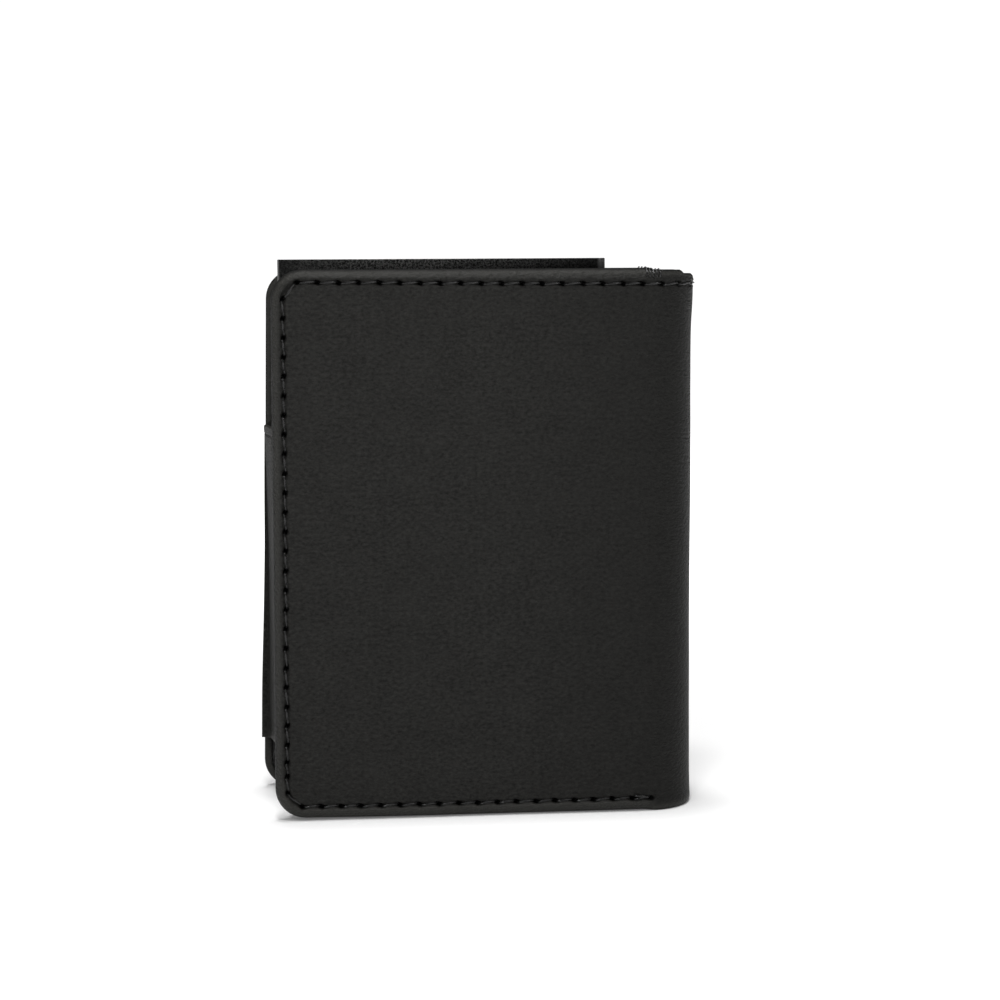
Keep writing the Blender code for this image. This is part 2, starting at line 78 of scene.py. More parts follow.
OPEN_ANGLE = radians(9.0)
SPINE_RADIUS = 9.5 * MM
SPINE_TURN = pi - OPEN_ANGLE
SPINE_LENGTH = SPINE_RADIUS * SPINE_TURN
SPINE_X = cad_high.x - SPINE_RADIUS
SPINE_Y = cad_high.y - SPINE_RADIUS
COVER_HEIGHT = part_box("back_cover_leather")[1].z
BACK_WIDTH = SPINE_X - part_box("back_cover_leather")[0].x
FRONT_REACH = SPINE_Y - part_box("front_cover_leather")[0].y
FRONT_WIDTH = (FRONT_REACH - SPINE_RADIUS * cos(OPEN_ANGLE)) / sin(OPEN_ANGLE)
CASE_LOW, CASE_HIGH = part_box("card_case")
CORNER_RADIUS = 5.7 * MM
COVER_THICKNESS = 2.8 * MM
SPINE_THICKNESS = 1.9 * MM

# The covers were cut a little out of square: their free edges lean out towards the bottom, and the front
# cover's bottom edge rises a little towards its free corner
BACK_SKEW = 2.0 * MM
FRONT_SKEW = 0.7 * MM
FRONT_LIFT = 0.38 * MM
FRONT_LIFT_REACH = 25 * MM

# The back cover's leather ends just inside the CAD part's edge
BACK_TRIM = 0.15 * MM

# The spine has no board: its top edge hangs a little, most of all in the middle, and its ends open outwards
SPINE_DROP = 0.35 * MM
SPINE_MIDDLE_DROP = 0.7 * MM
SPINE_DROP_REACH = 2.3 * MM
SPAN_EASE_IN = 0.12
SPAN_EASE_OUT = 0.05
SPINE_FLARE = 0.40 * MM
SPINE_FLARE_REACH = 9 * MM
SPINE_LOW_FLARE = 0.28 * MM
SPINE_LOW_FLARE_REACH = 4 * MM

# Turned edge: a full bead on the covers, a thin fold on the spine
BEAD_WIDTH = 1.9 * MM
BEAD_DROP = 2.0 * MM
BEAD_PUFF = 0.24 * MM
SPINE_BEAD_WIDTH = 1.2 * MM
SPINE_BEAD_DROP = 0.6 * MM
INNER_ROUND = 0.6 * MM
RIM_WIDTH = 1.5 * MM
RIM_STEPS = 5
LINING_INSET = 1.6 * MM

# Seam: it runs a little farther from the edge along the bottom, and along the top towards the spine
SIDE_SEAM_INSET = 2.25 * MM
BOTTOM_SEAM_INSET = 2.55 * MM
SPINE_SEAM_INSET = 2.94 * MM
SEAM_DIP = 0.46 * MM
SEAM_DIP_WIDTH = 0.42 * MM
STITCH_PITCH = 3.75 * MM
CORNER_RUN = 4.85 * MM
SIDE_SEAM_TOP = 97.73 * MM
SIDE_PITCH = 3.524 * MM
SIDE_PITCH_GROWTH = 0.0042 * MM
SIDE_STITCHES = 21
LAST_SIDE_STITCHES = (3.62, 3.74, 3.33, 2.77, 3.23)
TOP_STITCHES = 43
BOTTOM_PITCH = 3.645 * MM
BOTTOM_STITCHES = 18
HOLE_DEPTH = 0.6 * MM
HOLE_LENGTH = 0.66 * MM
HOLE_WIDTH = 0.45 * MM
HOLE_LIP = 0.09 * MM
HOLE_REACH = 1.4 * MM
HOLE_TILT = radians(24)
FAR_FROM_HOLES = 9.0

BACK = -1
FRONT = 1
SIDES = {BACK: "back", FRONT: "front"}


def smooth(value):
    """Smoothstep of the value, held between 0 and 1."""
    t = min(max(value, 0.0), 1.0)
    return t * t * (3 - 2 * t)


def hill(value, middle, width):
    """One at the middle, falling smoothly to zero on both sides."""
    return exp(-((value - middle) / width) ** 2)


def span(value, start, stop):
    """One between start and stop, easing in after the start and out before the stop, and zero beyond."""
    return smooth((value - start) / SPAN_EASE_IN) * smooth((stop - value) / SPAN_EASE_OUT)


def waves(s, z, along_s, along_z, seed):
    """Smooth noise from -1 to 1 over the flat leather, with the given number of waves to the metre."""
    return noise.noise(Vector((s * along_s, z * along_z, seed)))


def along(side, run):
    """Flat distance s of a point at a run into one of the covers."""
    return -run if side == BACK else SPINE_LENGTH + run


def run_of(s):
    """Distance into the nearer cover; negative on the spine."""
    return max(-s, s - SPINE_LENGTH)


def spine_drop(s):
    """How far the spine's top edge hangs below the covers' top."""
    share = s / SPINE_LENGTH
    return SPINE_DROP * span(share, -0.02, 1.02) + SPINE_MIDDLE_DROP * span(share, 0.25, 0.75)


def spine_flare(s, z):
    """How far the spine's ends open outwards."""
    share = min(max(s / SPINE_LENGTH, 0.0), 1.0)
    top = SPINE_FLARE / (1 + ((COVER_HEIGHT - z) / SPINE_FLARE_REACH) ** 6)
    return sin(pi * share) * (top + SPINE_LOW_FLARE * exp(-max(z, 0.0) / SPINE_LOW_FLARE_REACH))


def place(s, z, depth):
    """The folded wallet's point for a point of the flat drawing."""
    run = max(run_of(s), 0.0)
    lean = max(1 - z / COVER_HEIGHT, 0.0)
    if s < 0:
        s -= BACK_SKEW * lean * run / BACK_WIDTH
    elif run > 0:
        s += FRONT_SKEW * lean * run / FRONT_WIDTH
        z += FRONT_LIFT * (run / FRONT_WIDTH) ** 4 * max(1 - z / FRONT_LIFT_REACH, 0.0)
    radius = SPINE_RADIUS - depth + spine_flare(s, z)
    z -= spine_drop(s) * smooth((z - COVER_HEIGHT + SPINE_DROP_REACH) / SPINE_DROP_REACH)
    if s <= 0:
        x = s
        y = radius
    else:
        turn = min(s / SPINE_RADIUS, SPINE_TURN)
        beyond = max(s - SPINE_LENGTH, 0.0)
        x = radius * sin(turn) - beyond * cos(OPEN_ANGLE)
        y = radius * cos(turn) - beyond * sin(OPEN_ANGLE)
    return Vector((SPINE_X + x, SPINE_Y + y, z))


def heading(points, i):
    """Unit vector along a line of points at one of them."""
    return (points[min(i + 1, len(points) - 1)] - points[max(i - 1, 0)]).normalized()


def outward(s, z):
    """Unit vector out of the leather's outer face."""
    return (place(s, z, 0) - place(s, z, 1 * MM)).normalized()


# -------- meshes

def new_object(name, data):
    made = bpy.data.objects.new(name, data)
    bpy.context.scene.collection.objects.link(made)
    return made


def new_piece(name, bm, look, shade_angle=None):
    mesh = bpy.data.meshes.new(name)
    bm.to_mesh(mesh)
    bm.free()
    mesh.shade_smooth()
    if shade_angle is not None:
        mesh.set_sharp_from_angle(angle=radians(shade_angle))
    mesh.materials.append(look)
    return new_object(name, mesh)


def write_attribute(piece, name, kind, values):
    """Store one value or vector for each vertex, for the materials to read."""
    attribute = piece.data.attributes.new(name, kind, "POINT")
    if kind == "FLOAT_VECTOR":
        attribute.data.foreach_set("vector", [part for value in values for part in value])
    else:
        attribute.data.foreach_set("value", values)


def join_rings(bm, rings, closed=True):
    """Faces between each ring of vertices and the next."""
    size = len(rings[0])
    for first, second in zip(rings, rings[1:]):
        for k in range(size if closed else size - 1):
            m = (k + 1) % size
            bm.faces.new((first[k], first[m], second[m], second[k]))


def even_lines(start, stop, step):
    """Evenly spaced values from start to stop, both included."""
    count = max(1, ceil(abs(stop - start) / step - 1e-6))
    return [start + (stop - start) * i / count for i in range(count + 1)]


def edge_lines(width):
    """Insets of the mesh's lines over a turned edge and its seam, up to the given width."""
    turned = (0, 0.06, 0.16, 0.32, 0.52, 0.76, 1.04, 1.36, 1.7)
    sewn = (2.0, 2.2, 2.4, 2.6, 2.8, 3.0, 3.25, 3.6, 4.1, 4.8)
    return [value * MM for value in turned + sewn if value * MM < width - 0.3 * MM] + [width]


class Panel:
    """A flat piece of leather with rounded corners. A side without an edge runs on into the next piece."""

    def __init__(self, low, high, bottom, top, radius, low_edge=True, high_edge=True):
        self.low = low
        self.high = high
        self.bottom = bottom
        self.top = top
        self.radius = radius
        self.low_edge = low_edge
        self.high_edge = high_edge

    def corner(self, s, z):
        """Centre, signs and outward offsets at a rounded corner, or None elsewhere."""
        sign_s = -1 if s < (self.low + self.high) / 2 else 1
        sign_z = -1 if z < (self.bottom + self.top) / 2 else 1
        if not (self.low_edge if sign_s < 0 else self.high_edge):
            return None
        centre_s = self.low + self.radius if sign_s < 0 else self.high - self.radius
        centre_z = self.bottom + self.radius if sign_z < 0 else self.top - self.radius
        p = (s - centre_s) * sign_s
        q = (z - centre_z) * sign_z
        if p <= 0 or q <= 0:
            return None
        return centre_s, centre_z, sign_s, sign_z, p, q

    def rounded(self, s, z):
        """Where a point of the square grid lies: squares round a corner's centre become circles."""
        found = self.corner(s, z)
        if found is None:
            return s, z
        centre_s, centre_z, sign_s, sign_z, p, q = found
        scale = max(p, q) / hypot(p, q)
        return centre_s + sign_s * p * scale, centre_z + sign_z * q * scale

    def inset(self, s, z):
        """Distance of a flat point from the nearest finished edge."""
        found = self.corner(s, z)
        if found is not None:
            return self.radius - hypot(found[4], found[5])
        nearest = min(z - self.bottom, self.top - z)
        if self.low_edge:
            nearest = min(nearest, s - self.low)
        if self.high_edge:
            nearest = min(nearest, self.high - s)
        return nearest

    def moved_in(self, s, z, inset):
        """A point on the grid's border, moved in from the edge."""
        found = self.corner(s, z)
        if found is not None:
            centre_s, centre_z, sign_s, sign_z, p, q = found
            share = (self.radius - inset) / self.radius
            return centre_s + sign_s * p * share, centre_z + sign_z * q * share
        if self.low_edge and s == self.low:
            return s + inset, z
        if self.high_edge and s == self.high:
            return s - inset, z
        return (s, z + inset) if z == self.bottom else (s, z - inset)

    def grid_lines(self, low, high, step, low_edge=True, high_edge=True):
        """Grid values from low to high, fine at the finished edges."""
        edges = edge_lines(self.radius)
        start = [low + value for value in edges] if low_edge else [low]
        stop = [high - value for value in reversed(edges)] if high_edge else [high]
        return start[:-1] + even_lines(start[-1], stop[0], step) + stop[1:]

    def border(self, columns, rows):
        """Indices of the grid's finished border in order, and whether it closes."""
        last_i = len(columns) - 1
        last_j = len(rows) - 1
        bottom = [(i, 0) for i in range(last_i + 1)]
        high = [(last_i, j) for j in range(last_j + 1)]
        top = [(i, last_j) for i in range(last_i, -1, -1)]
        low = [(0, j) for j in range(last_j, -1, -1)]
        if self.low_edge and self.high_edge:
            return bottom[:-1] + high[:-1] + top[:-1] + low[:-1], True
        if self.high_edge:
            return bottom[:-1] + high[:-1] + top, False
        return top[:-1] + low[:-1] + bottom, False


def half_panel(side, width, inset):
    """The flat panel of one half, from its free edge to the middle of the spine."""
    ends = sorted((along(side, width - inset), SPINE_LENGTH / 2))
    return Panel(*ends, inset, COVER_HEIGHT - inset, CORNER_RADIUS - inset, side == BACK, side == FRONT)


def panel_piece(name, skin, step, look, facing):
    """A skin as a mesh: its face at the depth surface(s, z), then the rim's rows of (inset, depth).

    rim(s, z) gives those rows at a border point. facing is 1 where the face looks out of the wallet. Where
    a skin's hollow(s, z) is above zero, the mesh is finer and the materials paint shade into a needle hole.
    """
    panel = skin.panel
    hollow = getattr(skin, "hollow", None)
    columns = panel.grid_lines(panel.low, panel.high, step, panel.low_edge, panel.high_edge)
    rows = panel.grid_lines(panel.bottom, panel.top, step)
    bm = bmesh.new()
    grid = [[bm.verts.new((s, z, 0)) for z in rows] for s in columns]
    for i in range(len(columns) - 1):
        for j in range(len(rows) - 1):
            bm.faces.new((grid[i][j], grid[i + 1][j], grid[i + 1][j + 1], grid[i][j + 1]))
    if hollow:
        refine_near_holes(bm, panel, hollow)
        bm.verts.ensure_lookup_table()
        grid = [[bm.verts[i * len(rows) + j] for j in range(len(rows))] for i in range(len(columns))]
    flats = []
    hole_shade_values = []
    for vert in bm.verts:
        flat_s, flat_z = panel.rounded(vert.co.x, vert.co.y)
        depth = skin.surface(flat_s, flat_z)
        flats.append((flat_s, flat_z, depth))
        # How deep each point lies in a needle hole, kept for the materials to paint shade into the hole
        hole_shade_values.append(hollow(flat_s, flat_z) if hollow else 0.0)
        vert.co = place(flat_s, flat_z, depth)
    path, closed = panel.border(columns, rows)
    rings = [[grid[i][j] for i, j in path]]
    for k in range(len(skin.rim(0, 0))):
        ring = []
        for i, j in path:
            inset, depth = skin.rim(*panel.rounded(columns[i], rows[j]))[k]
            flat_s, flat_z = panel.rounded(*panel.moved_in(columns[i], rows[j], inset))
            flats.append((flat_s, flat_z, depth))
            hole_shade_values.append(0.0)
            ring.append(bm.verts.new(place(flat_s, flat_z, depth)))
        rings.append(ring)
    join_rings(bm, rings, closed)
    bmesh.ops.recalc_face_normals(bm, faces=bm.faces)
    bm.normal_update()
    middle = grid[len(columns) // 2][len(rows) // 2].link_faces[0]
    if middle.normal.dot(outward(columns[len(columns) // 2], COVER_HEIGHT / 2)) * facing < 0:
        bmesh.ops.reverse_faces(bm, faces=bm.faces)
    piece = new_piece(name, bm, look)
    write_attribute(piece, "flat_place", "FLOAT_VECTOR", flats)
    write_attribute(piece, "needle_hole_shade", "FLOAT", hole_shade_values)
    write_attribute(piece, "edge_wear_and_painted_light", "FLOAT", [edge_wear_and_painted_light(panel, s, z) for s, z, _ in flats])
    return piece


def refine_near_holes(bm, panel, hollow):
    """Halve the mesh's squares wherever a corner or the middle of one lies in a needle hole."""
    edges = set()
    for face in bm.faces:
        spots = [vert.co for vert in face.verts] + [face.calc_center_median()]
        if any(hollow(*panel.rounded(spot.x, spot.y)) > 0.002 for spot in spots):
            edges.update(face.edges)
    bmesh.ops.subdivide_edges(bm, edges=list(edges), cuts=1, use_grid_fill=True)


def edge_wear_and_painted_light(panel, s, z):
    """How much worn polish and painted highlight the bead's crest gets, and how much painted highlight
    the bottom bead gets up to the seam.

    It is below zero on the very edge, for a painted shade there, except along the bottom.
    """
    inset = panel.inset(s, z)
    near_bottom = smooth((9 * MM - z) / (4 * MM)) * smooth((run_of(s) + 2 * MM) / (3 * MM))
    # Painted highlight on the bead's crest, partly worn polish, and on the bottom bead's upper slope
    polish_and_highlight = hill(inset, 0.75 * MM, 0.6 * MM) + 1.2 * near_bottom * hill(inset, 1.75 * MM, 0.5 * MM)
    # Painted shade on the very edge, kept off the bottom
    return polish_and_highlight - smooth((z - 3 * MM) / (3 * MM)) * hill(inset, 0, 0.35 * MM)


# -------- node materials

class Nodes:
    """A short way to build a material's node tree."""

    def __init__(self, name):
        self.material = bpy.data.materials.new(name)
        self.material.use_nodes = True
        self.tree = self.material.node_tree
        self.shader = self.tree.nodes["Principled BSDF"]

    def add(self, kind, inputs=None, **settings):
        """A new node; inputs maps socket names to a constant or to another node's output."""
        node = self.tree.nodes.new(kind)
        for key, value in settings.items():
            setattr(node, key, value)
        for key, value in (inputs or {}).items():
            self.feed(node, key, value)
        return node

    def feed(self, node, key, value):
        socket = node.inputs[key]
        if isinstance(value, bpy.types.NodeSocket):
            self.tree.links.new(value, socket)
        else:
            socket.default_value = value

    def set(self, **values):
        """Set or link the shader's sockets; an underscore stands for a space."""
        for key, value in values.items():
            self.feed(self.shader, key.replace("_", " "), value)

    def millimetres(self, attribute=None):
        """Texture coordinates in millimetres, from a stored attribute or on the object."""
        if attribute:
            source = self.add("ShaderNodeAttribute", attribute_name=attribute).outputs["Vector"]
        else:
            source = self.add("ShaderNodeTexCoord").outputs["Object"]
        return self.scaled(source, (1 / MM, 1 / MM, 1 / MM))

    def scaled(self, place_at, scale):
        return self.add("ShaderNodeMapping", {"Vector": place_at, "Scale": scale}).outputs["Vector"]

    def coordinate(self, place_at, axis):
        return self.add("ShaderNodeSeparateXYZ", {"Vector": place_at}).outputs[axis]

    def noise(self, place_at, scale, detail=3.0, roughness=0.55):
        made = self.add("ShaderNodeTexNoise", {"Vector": place_at, "Scale": scale, "Detail": detail,
                                               "Roughness": roughness})
        return made.outputs["Fac"]

    def ramp(self, value, low, high, to_low, to_high):
        """Map the value's range from low..high to to_low..to_high."""
        made = self.add("ShaderNodeMapRange", {"Value": value, "From Min": low, "From Max": high,
                                               "To Min": to_low, "To Max": to_high})
        return made.outputs["Result"]

    def colours(self, value, first, second):
        """A colour, fixed or linked, turning into a fixed one by the value."""
        made = self.add("ShaderNodeMix", data_type="RGBA")
        self.feed(made, 0, value)
        self.feed(made, 6, first if isinstance(first, bpy.types.NodeSocket) else (*first, 1.0))
        self.feed(made, 7, (*second, 1.0))
        return made.outputs[2]

    def math(self, operation, first, second):
        made = self.add("ShaderNodeMath", operation=operation)
        self.feed(made, 0, first)
        self.feed(made, 1, second)
        return made.outputs[0]

    def bump(self, height, strength, distance):
        """Bump the shader's normal; call it again to lay a second pattern on the first."""
        made = self.add("ShaderNodeBump", {"Height": height, "Strength": strength, "Distance": distance})
        old = self.shader.inputs["Normal"]
        if old.is_linked:
            self.tree.links.new(old.links[0].from_socket, made.inputs["Normal"])
        self.tree.links.new(made.outputs["Normal"], old)


# Where the painted shade round the spine fades out, in millimetres from the middle of the spine, and how
# strong it is
SPINE_SHADE_ZONE = (12.0, 42.0)
SPINE_SHADE = 0.42
# Near-black colour of the painted shade on the leather's very edge
EDGE_SHADE_COLOUR = (0.003, 0.003, 0.003)
# Near-black colour of the painted shade in the needle holes
HOLE_SHADE_COLOUR = (0.0003, 0.0003, 0.0003)


def leather_look(name, dark, light, polish_and_highlight, shine=0.10):
    """Leather: creased grain, painted shade round the spine, worn polish with a painted highlight on the
    bead, and painted shade on the very edge and in the needle holes.
    """
    look = Nodes(name)
    spot = look.millimetres("flat_place")
    drawn_out = look.scaled(spot, (0.75, 1.15, 1.0))
    mottle = look.noise(spot, 0.16, 4.0)
    grain = look.noise(drawn_out, 1.5, 3.0, 0.75)
    pores = look.add("ShaderNodeTexVoronoi", {"Vector": drawn_out, "Scale": 2.0}, feature="SMOOTH_F1")
    wear_with_painted_light = look.add("ShaderNodeAttribute", attribute_name="edge_wear_and_painted_light").outputs["Fac"]
    hole_shade = look.add("ShaderNodeAttribute", attribute_name="needle_hole_shade").outputs["Fac"]
    tone = look.math("ADD", look.math("MULTIPLY", mottle, 0.15), look.math("MULTIPLY", grain, 0.85))
    body = look.colours(look.ramp(tone, 0.34, 0.66, 0.0, 1.0), dark, light)
    from_middle = look.math("SUBTRACT", look.coordinate(spot, "X"), SPINE_LENGTH / 2 / MM)
    off_spine = look.math("ABSOLUTE", from_middle, 0.0)
    # Painted shade: the leather darkens towards the middle of the spine
    spine_shaded = look.colours(look.ramp(off_spine, *SPINE_SHADE_ZONE, SPINE_SHADE, 0.0), body, dark)
    # Painted highlight along the bead, partly worn polish, in the lighter polish colour
    polished_and_highlit = look.colours(look.math("MULTIPLY", wear_with_painted_light, 0.75), spine_shaded, polish_and_highlight)
    # Painted shade: the very edge is darkened where the attribute is below zero
    edge_shaded = look.colours(look.math("MULTIPLY", wear_with_painted_light, -0.9), polished_and_highlit, EDGE_SHADE_COLOUR)
    # Painted shade: the needle holes are coloured near black
    sunk = look.colours(look.ramp(hole_shade, 0.1, 0.7, 0.0, 1.0), edge_shaded, HOLE_SHADE_COLOUR)
    rough = look.math("SUBTRACT", look.ramp(grain, 0.3, 0.7, 0.46, 0.58), look.math("MULTIPLY", wear_with_painted_light, 0.10))
    look.set(Base_Color=sunk, Roughness=rough, Specular_IOR_Level=shine)
    look.bump(pores.outputs["Distance"], 1.0, 0.12 * MM)
    look.bump(grain, 1.0, 0.30 * MM)
    return look.material


def case_look():
    """Bead-blasted aluminium, anodised black and lighter at the tall corners; painted shade darkens the
    face towards both ends.
    """
    look = Nodes("anodised_aluminium")
    spot = look.millimetres()
    across = look.coordinate(spot, "X")
    low = CASE_LOW.x / MM
    high = CASE_HIGH.x / MM
    corner = look.math("MAXIMUM", look.ramp(across, low + 0.3, low + 0.55, 1.0, 0.0),
                       look.ramp(across, high - 1.4, high - 0.9, 0.0, 1.0))
    # Painted shade: the face darkens towards both ends, away from its middle
    end_shade = look.math("MAXIMUM", look.ramp(across, low, low + 19.0, 0.93, 0.0),
                       look.ramp(across, low + 29.0, high - 2.0, 0.0, 0.86))
    grit = look.noise(spot, 2.6, 6.0, 0.85)
    patch = look.noise(spot, 0.12, 2.0)
    tone = look.math("ADD", look.math("MULTIPLY", grit, 0.97), look.math("MULTIPLY", patch, 0.03))
    black = (0.001, 0.0011, 0.0011)
    blasted = look.colours(look.ramp(tone, 0.45, 0.57, 0.0, 1.0), black, (0.160, 0.160, 0.155))
    face = look.colours(end_shade, blasted, black)
    look.set(Base_Color=look.colours(look.math("MULTIPLY", corner, 0.8), face, (0.14, 0.14, 0.14)),
             Metallic=0.85, Roughness=look.ramp(grit, 0.3, 0.7, 0.26, 0.42))
    look.bump(grit, 1.0, 0.09 * MM)
    return look.material


def plastic_look(name, tone):
    """Moulded plastic with a fine spark-eroded texture."""
    look = Nodes(name)
    spot = look.millimetres()
    texture = look.noise(spot, 4.0, 2.0)
    flow = look.noise(spot, 0.25, 2.0)
    darker = tuple(value * 0.8 for value in tone)
    look.set(Base_Color=look.colours(flow, darker, tone),
             Roughness=look.ramp(texture, 0.3, 0.7, 0.42, 0.56))
    look.bump(texture, 0.25, 0.03 * MM)
    return look.material


def fibre_look(name, dark, light, fibres, relief, **settings):
    """A fine pattern; fibres are the noise's settings, relief the bump's, gloss the roughness's range."""
    look = Nodes(name)
    pattern = look.noise(look.millimetres(), *fibres)
    low, high = settings.pop("contrast", (0.0, 1.0))
    gloss = settings.pop("gloss", None)
    if gloss:
        settings["Roughness"] = look.ramp(pattern, 0.3, 0.7, *gloss)
    look.set(Base_Color=look.colours(look.ramp(pattern, low, high, 0.0, 1.0), dark, light), **settings)
    look.bump(pattern, *relief)
    return look.material


def felt_look(name, dark, light):
    """Felt or foam: matted fibres with a soft sheen."""
    return fibre_look(name, dark, light, (5.0, 6.0, 0.75), (0.8, 0.15 * MM), contrast=(0.35, 0.65),
                      Roughness=0.95, Sheen_Weight=0.3)


COVER_LOOK = leather_look("black_cover_leather", (0.0076, 0.0075, 0.0069), (0.0268, 0.0265, 0.0247),
                          (0.036, 0.0355, 0.0325))
BAND_LOOK = leather_look("black_band_leather", (0.0064, 0.0063, 0.0057), (0.0235, 0.0232, 0.0215),
                         (0.030, 0.0295, 0.027), 0.04)
LINING_LOOK = leather_look("black_lining_leather", (0.006, 0.006, 0.006), (0.020, 0.020, 0.020),
                           (0.019, 0.019, 0.019))
THREAD_LOOK = fibre_look("black_thread", (0.0010, 0.0010, 0.0010), (0.0045, 0.0045, 0.0045), (9.0, 2.0),
                         (0.4, 0.03 * MM), gloss=(0.22, 0.36), Specular_IOR_Level=0.7)
CASE_LOOK = case_look()
PLASTIC_LOOK = plastic_look("black_plastic", (0.016, 0.016, 0.017))
LEVER_LOOK = plastic_look("black_lever_plastic", (0.020, 0.020, 0.021))
STEEL_LOOK = fibre_look("drawn_steel", (0.42, 0.42, 0.43), (0.60, 0.60, 0.61), (12.0, 2.0),
                        (0.15, 0.01 * MM), gloss=(0.22, 0.38), Metallic=1.0)
FELT_LOOK = felt_look("black_felt", (0.012, 0.012, 0.012), (0.035, 0.035, 0.035))
FOAM_LOOK = felt_look("dark_foam", (0.05, 0.05, 0.05), (0.09, 0.09, 0.09))
BOARD_LOOK = fibre_look("fibre_board", (0.20, 0.16, 0.11), (0.34, 0.27, 0.19), (2.5, 6.0, 0.7),
                        (0.5, 0.05 * MM), Roughness=0.9)


# -------- outer leather

def thickness(s):
    """Whole thickness of the wall: thinner on the spine, which has no board."""
    into_cover = smooth((run_of(s) + 1.5 * MM) / (4.5 * MM))
    return SPINE_THICKNESS + (COVER_THICKNESS - SPINE_THICKNESS) * into_cover


def unevenness(s, z):
    """Slight waviness of the leather between its seams."""
    return 0.16 * MM * waves(s, z, 38, 30, 0.3) + 0.03 * MM * waves(s, z, 150, 130, 7.1)


def edge_size(s):
    """Width and drop of the turned edge: full on the covers, slight on the spine."""
    share = smooth((run_of(s) + 2.5 * MM) / (3.5 * MM))
    width = SPINE_BEAD_WIDTH + (BEAD_WIDTH - SPINE_BEAD_WIDTH) * share
    return width, SPINE_BEAD_DROP + (BEAD_DROP - SPINE_BEAD_DROP) * share


def turned_edge(inset, s):
    """Depth of the outer face over the turned edge: a quarter of an ellipse."""
    width, drop = edge_size(s)
    if inset >= width:
        return 0.0
    share = 1 - max(inset, 0.0) / width
    return drop * (1 - sqrt(max(1 - share * share, 0.0)))


def seam_inset(s, z):
    """Distance of the seam from the edge near a flat point."""
    if z > COVER_HEIGHT / 2:
        share = 1 - max(run_of(s), 0.0) / FRONT_WIDTH
        return SIDE_SEAM_INSET + (SPINE_SEAM_INSET - SIDE_SEAM_INSET) * max(share, 0.0)
    low = smooth((8 * MM - z) / (5 * MM))
    return SIDE_SEAM_INSET + (BOTTOM_SEAM_INSET - SIDE_SEAM_INSET) * low


def side_seam_heights():
    """Heights of the needle holes up a free edge; the lowest stitches are shorter."""
    heights = [SIDE_SEAM_TOP - (SIDE_PITCH + SIDE_PITCH_GROWTH * i) * i for i in range(SIDE_STITCHES + 1)]
    for length in LAST_SIDE_STITCHES:
        heights.append(heights[-1] - length * MM)
    return heights[::-1]


def seam_holes():
    """Needle holes as (s, z, way), in one line from the front's bottom over the top to the back's bottom.

    way points along the oval hole.
    """
    front_corner = SPINE_LENGTH + FRONT_WIDTH - CORNER_RUN
    back_corner = -(BACK_WIDTH - CORNER_RUN)
    pitch = (front_corner - back_corner) / TOP_STITCHES
    top = [front_corner - pitch * i for i in range(TOP_STITCHES + 1)]
    heights = side_seam_heights()
    line = [(front_corner - BOTTOM_PITCH * i, BOTTOM_SEAM_INSET) for i in range(BOTTOM_STITCHES, -1, -1)]
    line.extend((along(FRONT, FRONT_WIDTH - SIDE_SEAM_INSET), z) for z in heights)
    line.extend((s, COVER_HEIGHT - seam_inset(s, COVER_HEIGHT)) for s in top)
    line.extend((along(BACK, BACK_WIDTH - SIDE_SEAM_INSET), z) for z in reversed(heights))
    line.extend((back_corner + BOTTOM_PITCH * i, BOTTOM_SEAM_INSET) for i in range(BOTTOM_STITCHES + 2))
    draw = Random(4).uniform
    holes = []
    spots = [Vector(spot) for spot in line]
    for i, (s, z) in enumerate(line):
        way = heading(spots, i)
        way.rotate(Matrix.Rotation(HOLE_TILT + radians(draw(-8, 8)), 2))
        holes.append((s + draw(-0.08, 0.08) * MM, z + draw(-0.06, 0.06) * MM, way))
    return holes


SEAM_HOLES = seam_holes()


